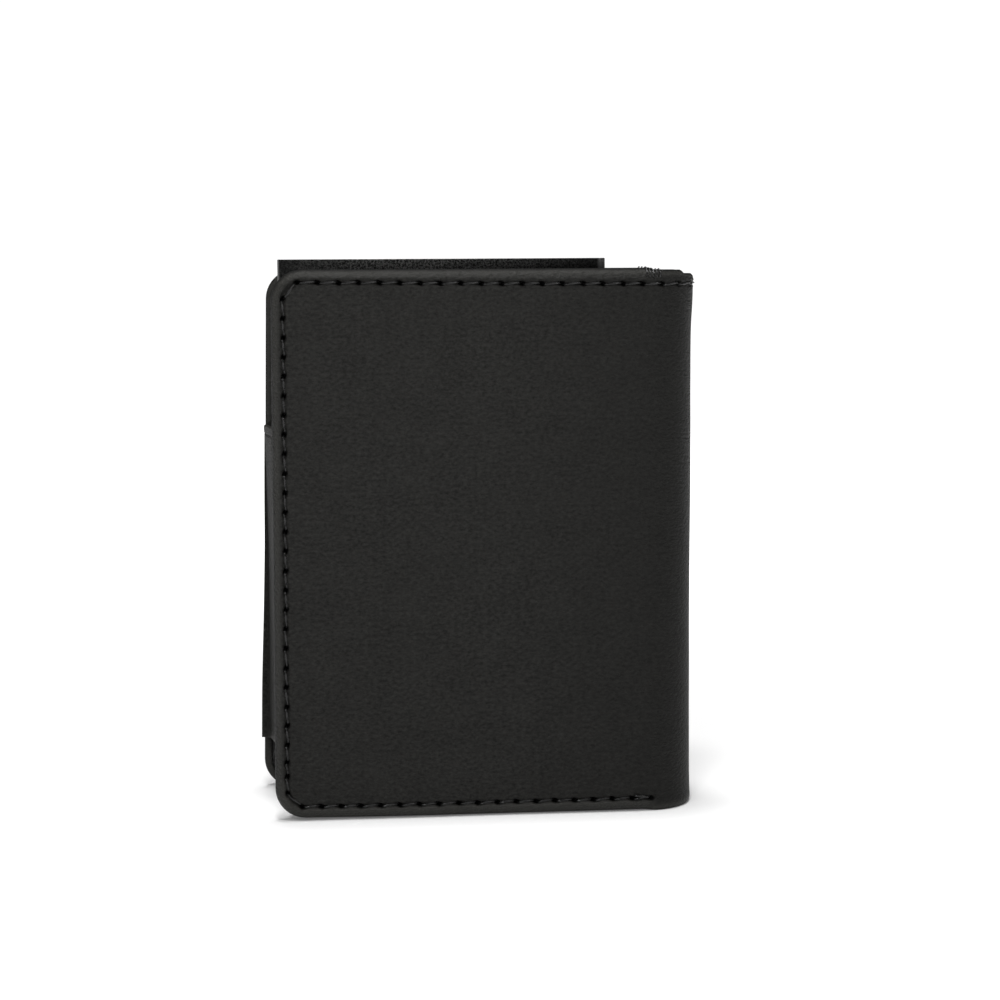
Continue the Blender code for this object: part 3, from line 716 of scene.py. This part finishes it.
class Cover:
    """One half of the outer leather, from its free edge to the middle of the spine, with its seam."""

    def __init__(self, side):
        self.side = side
        self.panel = half_panel(side, BACK_WIDTH - BACK_TRIM if side == BACK else FRONT_WIDTH, 0.0)
        first_over = next(i for i, hole in enumerate(SEAM_HOLES) if hole[0] < SPINE_LENGTH / 2)
        self.holes = SEAM_HOLES[first_over:] if side == BACK else SEAM_HOLES[:first_over + 1]
        self.holes_by_cell = {}
        for hole in SEAM_HOLES:
            for i in (-1, 0, 1):
                for j in (-1, 0, 1):
                    cell = (round(hole[0] / HOLE_REACH) + i, round(hole[1] / HOLE_REACH) + j)
                    self.holes_by_cell.setdefault(cell, []).append(hole)

    def groove(self, s, z):
        """Depth of the groove that the seam pulls into the leather, less the swelling beside it."""
        past = self.panel.inset(s, z) - seam_inset(s, z)
        sewn = 1.0 if z > COVER_HEIGHT / 2 else smooth((run_of(s) + 2 * MM) / (3 * MM))
        sewn *= 0.4 + 0.6 * smooth((run_of(s) + 4 * MM) / (5 * MM))
        puff = BEAD_PUFF * hill(past, -0.78 * MM, 0.38 * MM)
        return sewn * (SEAM_DIP * hill(past, 0, SEAM_DIP_WIDTH) - puff)

    def calm(self, s, z):
        """Depth of the outer face without the needle holes."""
        return turned_edge(self.panel.inset(s, z), s) + unevenness(s, z) + self.groove(s, z)

    def surface(self, s, z):
        """Depth of the outer face, with its turned edge, its seam and the needle holes."""
        lip = HOLE_LIP * hill(self.hole_distance(s, z), 1.45, 0.3)
        return self.calm(s, z) + HOLE_DEPTH * self.hollow(s, z) - lip

    def hole_distance(self, s, z):
        """Distance from the nearest needle hole's middle, in sizes of that oval hole."""
        cell = (round(s / HOLE_REACH), round(z / HOLE_REACH))
        nearest = FAR_FROM_HOLES
        for hole_s, hole_z, way in self.holes_by_cell.get(cell, ()):
            offset = Vector((s - hole_s, z - hole_z))
            lengthways = offset.dot(way) / HOLE_LENGTH
            across = (offset.y * way.x - offset.x * way.y) / HOLE_WIDTH
            nearest = min(nearest, hypot(lengthways, across))
        return nearest

    def hollow(self, s, z):
        """How deep a point lies in a needle hole, from 0 to 1."""
        distance = self.hole_distance(s, z)
        return exp(-distance ** 3.2) if distance < 2.2 else 0.0

    def rim(self, s, z):
        """Rows round the turned edge to the inside, and down to the lining."""
        wall = thickness(s)
        drop = edge_size(s)[1]
        rows = []
        for i in range(1, RIM_STEPS + 1):
            turn = pi / 2 * i / RIM_STEPS
            depth = drop + unevenness(s, z) * cos(turn) + (wall - drop) * sin(turn)
            rows.append((INNER_ROUND * (1 - cos(turn)), depth))
        rows.append((RIM_WIDTH - 0.15 * MM, wall))
        rows.append((RIM_WIDTH, wall - 0.12 * MM))
        rows.append((RIM_WIDTH, wall - 0.7 * MM))
        return rows


def spine_point(turn_share):
    """A point at mid height on the spine, at a share of its turn."""
    return place(SPINE_LENGTH * turn_share, COVER_HEIGHT / 2, 0.0)


def bend_with_leather(piece, side):
    """Bake a piece's transform into its mesh, alike for both halves."""
    if side == BACK:
        spine_point(0.0)
        spine_point(0.5)
        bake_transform(piece)
    else:
        spine_point(0.5)
        spine_point(1.0)
        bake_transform(piece)
    return piece


def make_covers():
    """The outer leather of both halves; the back half's goes with the CAD spine too."""
    covers = {side: Cover(side) for side in SIDES}
    for side, name in SIDES.items():
        skin = panel_piece(f"{name}_cover_skin", covers[side], 0.55 * MM, COVER_LOOK, 1)
        bend_with_leather(skin, side)
        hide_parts(f"{name}_cover_leather", *(["spine_leather"] if side == BACK else []))
    return covers


# -------- threads

STITCH_SLANT = 0.24 * MM
STITCH_RISE = 0.06 * MM
STITCH_CREST = 0.22 * MM
STITCH_SINK = 0.75 * MM
STITCH_TURNS = 1.5
PLY_RADIUS = 0.125 * MM
PLY_OFFSET = 0.095 * MM
PLY_SIDES = 6
TACK_LOOPS = 5
TACK_START = -2.1 * MM
TACK_PITCH = 0.62 * MM
TACK_LIFT = 0.12 * MM
TACK_TURNS = 3.0

# A direction that no thread runs along
ODD_WAY = Vector((0.31, 0.17, 0.93))


def ply_tube(bm, points):
    """Add one ply of thread, a round tube with closed ends, along the points."""
    rings = []
    for i, point in enumerate(points):
        direction = heading(points, i)
        across = direction.cross(ODD_WAY).normalized()
        over = direction.cross(across)
        ring = []
        for k in range(PLY_SIDES):
            turn = 2 * pi * k / PLY_SIDES
            ring.append(bm.verts.new(point + PLY_RADIUS * (across * cos(turn) + over * sin(turn))))
        rings.append(ring)
    join_rings(bm, rings)
    bm.faces.new(list(reversed(rings[0])))
    bm.faces.new(rings[-1])


def twisted_thread(bm, points, ups, turns):
    """Two plies twisted round each other along the points; ups are the directions away from the leather."""
    for ply in (0, 1):
        path = []
        for i, point in enumerate(points):
            side_way = heading(points, i).cross(ups[i]).normalized()
            turn = pi * ply + 2 * pi * turns * i / (len(points) - 1)
            path.append(point + PLY_OFFSET * (ups[i] * cos(turn) + side_way * sin(turn)))
        ply_tube(bm, path)


def stitch(bm, first, second, surface, facing=1, slant=STITCH_SLANT, rise=STITCH_RISE):
    """One stitch between two holes, slanted across the seam, with its ends down in the holes.

    It stands highest just before the second hole, where the machine pulled it tight last.
    """
    way = Vector((second[0] - first[0], second[1] - first[1]))
    across = Vector((-way.y, way.x)).normalized()
    ends = [value * MM / way.length for value in (0.12, 0.24, 0.36, 0.5, 0.68, 0.95, 1.3)]
    points = []
    ups = []
    for t in ends + [0.5] + [1 - value for value in reversed(ends)]:
        s = first[0] + way.x * t + across.x * slant * (1 - 2 * t)
        z = first[1] + way.y * t + across.y * slant * (1 - 2 * t)
        from_hole = min(t, 1 - t) * way.length
        crest = rise + STITCH_CREST * hill(t, 0.78, 0.14)
        lift = crest - (crest + STITCH_SINK) * (1 - smooth((from_hole - 0.05 * MM) / (0.62 * MM)))
        up = outward(s, z) * facing
        points.append(place(s, z, surface(s, z)) + up * lift)
        ups.append(up)
    twisted_thread(bm, points, ups, STITCH_TURNS)


def stitches(bm, spots, surface, facing=1):
    """A row of stitches from spot to spot."""
    for first, second in zip(spots, spots[1:]):
        stitch(bm, first, second, surface, facing)


def is_under_case(side, s, z):
    """Whether the card case or its leather band hides this place on the back half's inside."""
    if side == FRONT:
        return False
    beside = 0.8 * MM
    x = SPINE_X + s
    under_metal = CASE_LOW.x - beside < x < CASE_HIGH.x + beside and z > CASE_LOW.z - beside
    return under_metal or (x < CASE_LOW.x and BAND_BOTTOM - beside < z < BAND_TOP + beside)


def seam_thread(name, cover):
    """One cover's stitches outside and inside, the bar tack over the top edge and a backstitch."""
    bm = bmesh.new()
    lining = Lining(cover.side)
    stitches(bm, cover.holes, cover.calm)
    for first, second in zip(cover.holes, cover.holes[1:]):
        if not (is_under_case(cover.side, *first[:2]) or is_under_case(cover.side, *second[:2])):
            stitch(bm, first, second, lining.surface, -1)
    for i in range(TACK_LOOPS):
        over_edge_loop(bm, along(cover.side, TACK_START + TACK_PITCH * i))
    ends = cover.holes[-2:] if cover.side == BACK else cover.holes[:2]
    raised = [(hole[0], hole[1] + 0.45 * MM) for hole in ends]
    stitch(bm, raised[0], raised[1], cover.calm, slant=-STITCH_SLANT, rise=0.2 * MM)
    piece = new_piece(name, bm, THREAD_LOOK)
    return bend_with_leather(piece, cover.side)


def over_edge_loop(bm, s):
    """One loop of the bar tack, from below the bead's crest up over the turned edge to the inside."""
    wall = thickness(s)
    drop = edge_size(s)[1]
    lift = TACK_LIFT
    profile = [(1.9 * MM, 0.4 * MM)]
    for inset in (1.7, 1.3, 0.9, 0.5, 0.2, 0.06):
        profile.append((inset * MM, turned_edge(inset * MM, s) - lift))
    profile.append((-lift, drop))
    for turn in (0.35, 0.75, 1.15, 1.5):
        depth = drop + (wall - drop + lift) * sin(turn)
        profile.append((INNER_ROUND * (1 - cos(turn)) - lift * cos(turn), depth))
    profile.append((1.8 * MM, wall + lift))
    profile.append((2.6 * MM, wall - 0.3 * MM))
    points = []
    for inset, depth in profile:
        z = COVER_HEIGHT - inset
        points.append(place(s, z, depth + unevenness(s, z)))
    twisted_thread(bm, points, [Vector((1, 0, 0))] * len(points), TACK_TURNS)


# -------- linings

class Lining:
    """The inner leather of one half, from the turned edge to the middle of the spine."""

    def __init__(self, side):
        self.panel = half_panel(side, BACK_WIDTH if side == BACK else FRONT_WIDTH, LINING_INSET)

    def surface(self, s, z):
        """Depth of the lining's face: soft edges, and small folds where it bends round the spine."""
        inset = self.panel.inset(s, z)
        depth = thickness(s) + 0.04 * MM - 0.45 * MM * exp(-inset / (0.22 * MM))
        on_spine = smooth(-run_of(s) / (3 * MM))
        fold = sin(s / MM * 2.1 + 1.5 * waves(s, z, 90, 25, 2.0))
        depth += on_spine * 0.10 * MM * fold * smooth(inset / (4 * MM))
        return depth + 0.05 * MM * waves(s, z, 60, 60, 4.0)

    def rim(self, s, z):
        return [(0.0, thickness(s) - 0.65 * MM)]


def make_linings():
    for side, name in SIDES.items():
        skin = panel_piece(f"{name}_lining_skin", Lining(side), 0.9 * MM, LINING_LOOK, -1)
        bend_with_leather(skin, side)
        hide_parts(f"{name}_lining", *(["spine_lining"] if side == BACK else []))


# -------- leather band round the case

SLEEVE_LOW, SLEEVE_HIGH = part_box("case_sleeve")
BAND_THICKNESS = 1.0 * MM
BAND_GAP = 0.2 * MM
BAND_BEND_RADIUS = 2.0 * MM
BAND_BEND_STEPS = 6
BAND_EDGE_ROUND = 0.35 * MM
BAND_LEFT_END = 73.0 * MM
FLANGE_AT_TOP = 0.3 * MM
FLANGE_AT_BOTTOM = 2.0 * MM
BAND_BOTTOM = SLEEVE_LOW.z - 0.75 * MM
BAND_TOP = SLEEVE_HIGH.z + 0.75 * MM
FLANGE_SAG = 0.37 * MM
FLANGE_DENT = 0.08 * MM

# Points on each straight of the band: flange, wall, front, wall, flange
BAND_POINTS = (3, 8, 60, 6, 4)


def band_corners(z):
    """Corners of the band's middle line at a height: flange, wall, front, wall, flange."""
    half = BAND_THICKNESS / 2
    flange_y = SLEEVE_HIGH.y - half
    front_y = CASE_LOW.y - BAND_GAP - half
    share = (BAND_TOP - z) / (BAND_TOP - BAND_BOTTOM)
    left_end = SPINE_X - BAND_LEFT_END - BACK_SKEW * (1 - z / COVER_HEIGHT)
    left_end -= FLANGE_SAG * smooth((42 * MM - z) / (25 * MM)) - FLANGE_DENT * hill(z, 49 * MM, 7 * MM)
    flange = FLANGE_AT_TOP + (FLANGE_AT_BOTTOM - FLANGE_AT_TOP) * min(max(share, 0.0), 1.0) ** 0.75
    return [
        Vector((left_end, flange_y)),
        Vector((left_end + flange, flange_y)),
        Vector((CASE_LOW.x - BAND_GAP - half, front_y)),
        Vector((CASE_HIGH.x + BAND_GAP + half, front_y)),
        Vector((SLEEVE_HIGH.x - 3.4 * MM, flange_y)),
        Vector((SLEEVE_HIGH.x, flange_y)),
    ]


def rounded_line(corners):
    """Points along the band's corners with its bends rounded."""
    arcs = []
    steps = [k / BAND_BEND_STEPS for k in range(BAND_BEND_STEPS + 1)]
    for before, corner, after in zip(corners, corners[1:], corners[2:]):
        to_before = (before - corner).normalized()
        to_after = (after - corner).normalized()
        half_angle = to_before.angle(to_after) / 2
        shorter = min((before - corner).length, (after - corner).length)
        reach = min(BAND_BEND_RADIUS / abs(tan(half_angle)), shorter * 0.45)
        start = corner + to_before * reach
        stop = corner + to_after * reach
        arcs.append([start.lerp(corner, t).lerp(corner.lerp(stop, t), t) for t in steps])
    points = []
    for i, count in enumerate(BAND_POINTS):
        start = arcs[i - 1][-1] if i else corners[0]
        stop = arcs[i][0] if i < len(arcs) else corners[-1]
        points.extend(start.lerp(stop, k / count) for k in range(count))
        if i < len(arcs):
            points.extend(arcs[i][:-1])
    return points + [corners[-1]]


def make_sleeve():
    """The band: rounded cut edges, a creased line below its top edge and slight waves."""
    half = BAND_THICKNESS / 2
    edge = BAND_EDGE_ROUND
    bottom = BAND_BOTTOM
    top = BAND_TOP
    heights = even_lines(bottom + edge, top - 3 * MM, 1.5 * MM)
    heights += even_lines(top - 2.8 * MM, top - edge, 0.2 * MM)
    turns = (0.5, 1.0, 1.5, 2.1, 2.6)
    loop = [(z, half) for z in heights]
    loop += [(top - edge + edge * sin(turn), half * cos(turn)) for turn in turns]
    loop += [(z, -half) for z in reversed(heights)]
    loop += [(bottom + edge - edge * sin(turn), half * cos(turn)) for turn in reversed(turns)]
    bm = bmesh.new()
    rings = []
    flats = []
    wear_with_painted_light = []
    lines = {z: rounded_line(band_corners(z)) for z, _ in loop}
    count = len(lines[loop[0][0]])
    for n in range(count):
        ring = []
        end = 0.45 if n in (0, count - 1) else 1.0
        for z, offset in loop:
            line = lines[z]
            way = heading(line, n)
            out = Vector((way.y, -way.x))
            crease = 0.14 * MM * hill(top - z, 1.7 * MM, 0.2 * MM) if offset > 0 else 0.0
            wave = 0.10 * MM * waves(line[n].x, z, 60, 45, 3.0)
            spot = line[n] + out * (offset * end - crease + wave)
            ring.append(bm.verts.new((spot.x, spot.y, z)))
            flats.append((line[n].x, z, line[n].y))
            # Lighter polish at the band's top and bottom edges: worn polish and painted highlight
            wear_with_painted_light.append(hill(min(z - bottom, top - z), 0.2 * MM, 0.35 * MM))
        rings.append(ring)
    join_rings(bm, rings)
    for ring in (rings[0], rings[-1]):
        cap(bm, ring, len(heights))
    bmesh.ops.recalc_face_normals(bm, faces=bm.faces)
    band = new_piece("case_band", bm, BAND_LOOK)
    write_attribute(band, "flat_place", "FLOAT_VECTOR", flats)
    write_attribute(band, "edge_wear_and_painted_light", "FLOAT", wear_with_painted_light)
    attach(band, "back_half")
    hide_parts("case_sleeve")


def cap(bm, ring, face_count):
    """Close a band's end with quads between its two faces; the ring goes up one face and down the other."""
    size = len(ring)
    turn = (size - 2 * face_count) // 2
    for k in range(face_count + turn // 2 - 1):
        other = (face_count * 2 + turn - 1 - k) % size
        quad = [ring[k], ring[k + 1], ring[other - 1], ring[other]]
        if len(set(quad)) == 4:
            bm.faces.new(quad)


def band_seam():
    """Stitches down the band's flange beside the spine."""
    bm = bmesh.new()
    x = SLEEVE_HIGH.x - 1.5 * MM
    y = SLEEVE_HIGH.y - BAND_THICKNESS
    heights = even_lines(SLEEVE_LOW.z + 2.5 * MM, SLEEVE_HIGH.z - 2.5 * MM, STITCH_PITCH)
    shares = even_lines(0, 1, 1 / 8)
    for low, high in zip(heights, heights[1:]):
        points = []
        for t in shares:
            sunk = 0.45 * MM - 0.6 * MM * min(1.0, 1.35 * sin(pi * t) ** 0.6)
            points.append(Vector((x + 0.16 * MM * (1 - 2 * t), y + sunk, low + (high - low) * t)))
        twisted_thread(bm, points, [Vector((0, -1, 0))] * len(points), STITCH_TURNS)
    piece = new_piece("case_band_thread", bm, THREAD_LOOK)
    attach(piece, "back_half")
    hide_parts("sleeve_stitching")


# -------- card slots

SLOT_START = 5.0 * MM
SLOT_END = FRONT_WIDTH - 2.55 * MM
SLOT_THICKNESS = 0.6 * MM
SLOT_STEP = 0.75 * MM
SLOT_SEAM_INSET = 1.5 * MM
SLOT_CORNER_RADIUS = 1.2 * MM
SLOTS = ("upper_card_slot", "middle_card_slot", "lower_card_slot")


class Slot:
    """One pocket panel inside the front cover; order counts out from the lining."""

    def __init__(self, node, order):
        low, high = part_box(node)
        self.base = COVER_THICKNESS + 0.1 * MM + order * SLOT_STEP
        ends = (SPINE_LENGTH + SLOT_START, SPINE_LENGTH + SLOT_END)
        self.panel = Panel(*ends, low.z, high.z, SLOT_CORNER_RADIUS)

    def surface(self, s, z):
        """Depth of the face: a rolled edge, a creased line below the top and slight waves."""
        inset = self.panel.inset(s, z)
        depth = self.base + SLOT_THICKNESS - 0.28 * MM * exp(-inset / (0.14 * MM))
        depth -= 0.12 * MM * hill(self.panel.top - z, 1.6 * MM, 0.2 * MM)
        return depth + 0.06 * MM * waves(s, z, 50, 50, self.base * 900)

    def rim(self, s, z):
        return [(0.0, self.base + 0.1 * MM), (0.05 * MM, self.base - 0.05 * MM)]


def make_slots():
    slots = [Slot(node, order) for order, node in enumerate(SLOTS)]
    for node, slot in zip(SLOTS, slots):
        pocket = panel_piece(node.replace("_slot", "_pocket"), slot, 1.1 * MM, LINING_LOOK, -1)
        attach(pocket, "front_half")
        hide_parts(node)

    def top_face(s, z):
        """Depth of whichever pocket is on top at this height."""
        covering = [slot.base + SLOT_THICKNESS for slot in slots if slot.panel.bottom < z < slot.panel.top]
        return max(covering) if covering else COVER_THICKNESS

    bm = bmesh.new()
    upper = slots[0].panel
    inset = SLOT_SEAM_INSET
    heights = even_lines(slots[-1].panel.bottom + inset, upper.top - inset, STITCH_PITCH)
    across = even_lines(upper.low + inset, upper.high - inset, STITCH_PITCH)
    for s in (across[0], across[-1]):
        stitches(bm, [(s, z) for z in heights], top_face, -1)
    stitches(bm, [(s, heights[0]) for s in across], top_face, -1)
    thread = new_piece("card_pocket_thread", bm, THREAD_LOOK)
    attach(thread, "front_half")


# -------- hard parts

CASE_CORNER_RADIUS = 0.75 * MM
SHARP_ANGLE = 35


def is_outer_corner(edge):
    """Whether the edge is one of the tall outer corners of the card case."""
    for vert in edge.verts:
        off_x = min(abs(vert.co.x - CASE_LOW.x), abs(vert.co.x - CASE_HIGH.x))
        off_y = min(abs(vert.co.y - CASE_LOW.y), abs(vert.co.y - CASE_HIGH.y))
        if max(off_x, off_y) > 0.01 * MM:
            return False
    return edge.calc_length() > 20 * MM


def softened_copy(node, shape, width, look, body="back_half"):
    """The CAD node's shape with its sharp edges broken, as a piece of its own."""
    bm = bmesh.new()
    bm.from_mesh(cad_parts[node].data)
    bmesh.ops.remove_doubles(bm, verts=bm.verts, dist=0.002 * MM)
    bmesh.ops.dissolve_limit(bm, angle_limit=radians(1), verts=bm.verts, edges=bm.edges)
    bmesh.ops.recalc_face_normals(bm, faces=bm.faces)
    corners = [edge for edge in bm.edges if node == "card_case" and is_outer_corner(edge)]
    if corners:
        bmesh.ops.bevel(bm, geom=corners, offset=CASE_CORNER_RADIUS, segments=5, profile=0.5,
                        affect="EDGES")
    piece = new_piece(f"{node}_{shape}", bm, look, SHARP_ANGLE)
    bevel = piece.modifiers.new("broken_edges", "BEVEL")
    bevel.width = width
    bevel.segments = 3
    bevel.limit_method = "ANGLE"
    bevel.angle_limit = radians(SHARP_ANGLE)
    bevel.harden_normals = True
    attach(piece, body)
    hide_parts(node)


def make_hard_parts():
    softened_copy("card_case", "tube", 0.15 * MM, CASE_LOOK)
    softened_copy("case_base", "moulding", 0.12 * MM, PLASTIC_LOOK)
    softened_copy("ejector_lever", "moulding", 0.12 * MM, LEVER_LOOK, "lever")
    softened_copy("lever_pin", "turned", 0.1 * MM, STEEL_LOOK)
    for side in ("left", "right"):
        softened_copy(f"{side}_card_rail", "moulding", 0.12 * MM, PLASTIC_LOOK)
        softened_copy(f"{side}_card_brake", "felt", 0.15 * MM, FELT_LOOK)
    kept = {"lever_spring": STEEL_LOOK, "case_adhesive_pad": FOAM_LOOK, "back_cover_board": BOARD_LOOK,
            "front_cover_board": BOARD_LOOK}
    for node, look in kept.items():
        for material_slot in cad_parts[node].material_slots:
            material_slot.material = look


# -------- stage, lights and camera

FLOOR_HALF_WIDTH = 6.0
WHITE = (1.0, 1.0, 1.0, 1.0)
# Millimetres from the origin between which the floor's glow grows, and its two strengths
GLOW_REACH = (130.0, 430.0)
NEAR_FLOOR_GLOW = 0.12
FAR_FLOOR_GLOW = 1.05
ROOM_LIGHT = 0.10
BACKDROP_LIGHT = 1.05


def area_light(name, at, towards, size, power):
    data = bpy.data.lights.new(name, "AREA")
    data.shape = "SQUARE"
    data.size = size
    data.energy = power
    light = new_object(name, data)
    light.location = at
    light.rotation_euler = (Vector(towards) - Vector(at)).to_track_quat("-Z", "Y").to_euler()


def make_stage():
    """A pale floor, which glows away from the object to meet the backdrop, under three soft lamps."""
    bm = bmesh.new()
    bmesh.ops.create_grid(bm, x_segments=8, y_segments=8, size=FLOOR_HALF_WIDTH)
    look = Nodes("pale_floor")
    spot = look.millimetres()
    distance = look.add("ShaderNodeVectorMath", {0: spot}, operation="LENGTH").outputs["Value"]
    glow = look.ramp(distance, *GLOW_REACH, NEAR_FLOOR_GLOW, FAR_FLOOR_GLOW)
    look.set(Base_Color=look.colours(look.noise(spot, 0.01), (0.88, 0.88, 0.88), (0.90, 0.90, 0.90)),
             Roughness=0.9, Specular_IOR_Level=0.0, Emission_Color=WHITE, Emission_Strength=glow)
    floor = new_piece("floor", bm, look.material)
    bpy.context.scene.view_settings.view_transform = "Standard"
    area_light("overhead_softbox", (-0.02, 0.02, 1.4), (-0.02, 0.02, 0), 0.2, 10.5)
    area_light("front_softbox", (0.01, -0.45, 1.3), (0, 0, 0.02), 0.2, 7.0)
    area_light("key_softbox", (-0.12, -0.50, 0.60), (0, 0, 0.05), 0.4, 1.3)


def make_world():
    """A white backdrop behind the object, in a dim studio."""
    world = bpy.data.worlds.new("studio")
    world.use_nodes = True
    nodes = world.node_tree.nodes
    links = world.node_tree.links
    ray = nodes.new("ShaderNodeLightPath")
    level = nodes.new("ShaderNodeMapRange")
    level.inputs["To Min"].default_value = ROOM_LIGHT
    level.inputs["To Max"].default_value = BACKDROP_LIGHT
    links.new(ray.outputs["Is Camera Ray"], level.inputs["Value"])
    links.new(level.outputs["Result"], nodes["Background"].inputs["Strength"])
    nodes["Background"].inputs["Color"].default_value = WHITE
    bpy.context.scene.world = world


# The camera stands at arm's length, left of the spine's axis and just above the top edge
CAMERA_TURN = radians(3.35)
CAMERA_AIM = radians(3.366)
CAMERA_PITCH = radians(6.395)
CAMERA_ROLL = radians(-0.30)
CAMERA_LEFT = 26.86 * MM
CAMERA_DISTANCE = 403.95 * MM
CAMERA_HEIGHT = 104.06 * MM
CAMERA_LENS = 76.18


def make_camera():
    data = bpy.data.cameras.new("camera")
    data.sensor_width = 36
    data.lens = CAMERA_LENS
    data.clip_start = 0.01
    data.clip_end = 50
    camera = new_object("camera", data)
    offset = Matrix.Rotation(CAMERA_TURN, 3, "Z") @ Vector((-CAMERA_LEFT, -CAMERA_DISTANCE, 0))
    camera.location = Vector((SPINE_X, SPINE_Y, CAMERA_HEIGHT)) + offset
    aimed = Matrix.Rotation(CAMERA_AIM, 3, "Z")
    forward = aimed @ Vector((0, cos(CAMERA_PITCH), -sin(CAMERA_PITCH)))
    right = aimed @ Vector((1, 0, 0))
    basis = Matrix((right, right.cross(forward), -forward)).transposed()
    camera.rotation_euler = (basis @ Matrix.Rotation(CAMERA_ROLL, 3, "Z")).to_euler()
    bpy.context.scene.camera = camera


make_camera()
make_stage()
make_world()
covers = make_covers()
for cover_side, cover_name in SIDES.items():
    seam = seam_thread(f"{cover_name}_cover_thread", covers[cover_side])
    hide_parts(f"{cover_name}_stitching")
make_linings()
make_sleeve()
band_seam()
make_slots()
make_hard_parts()
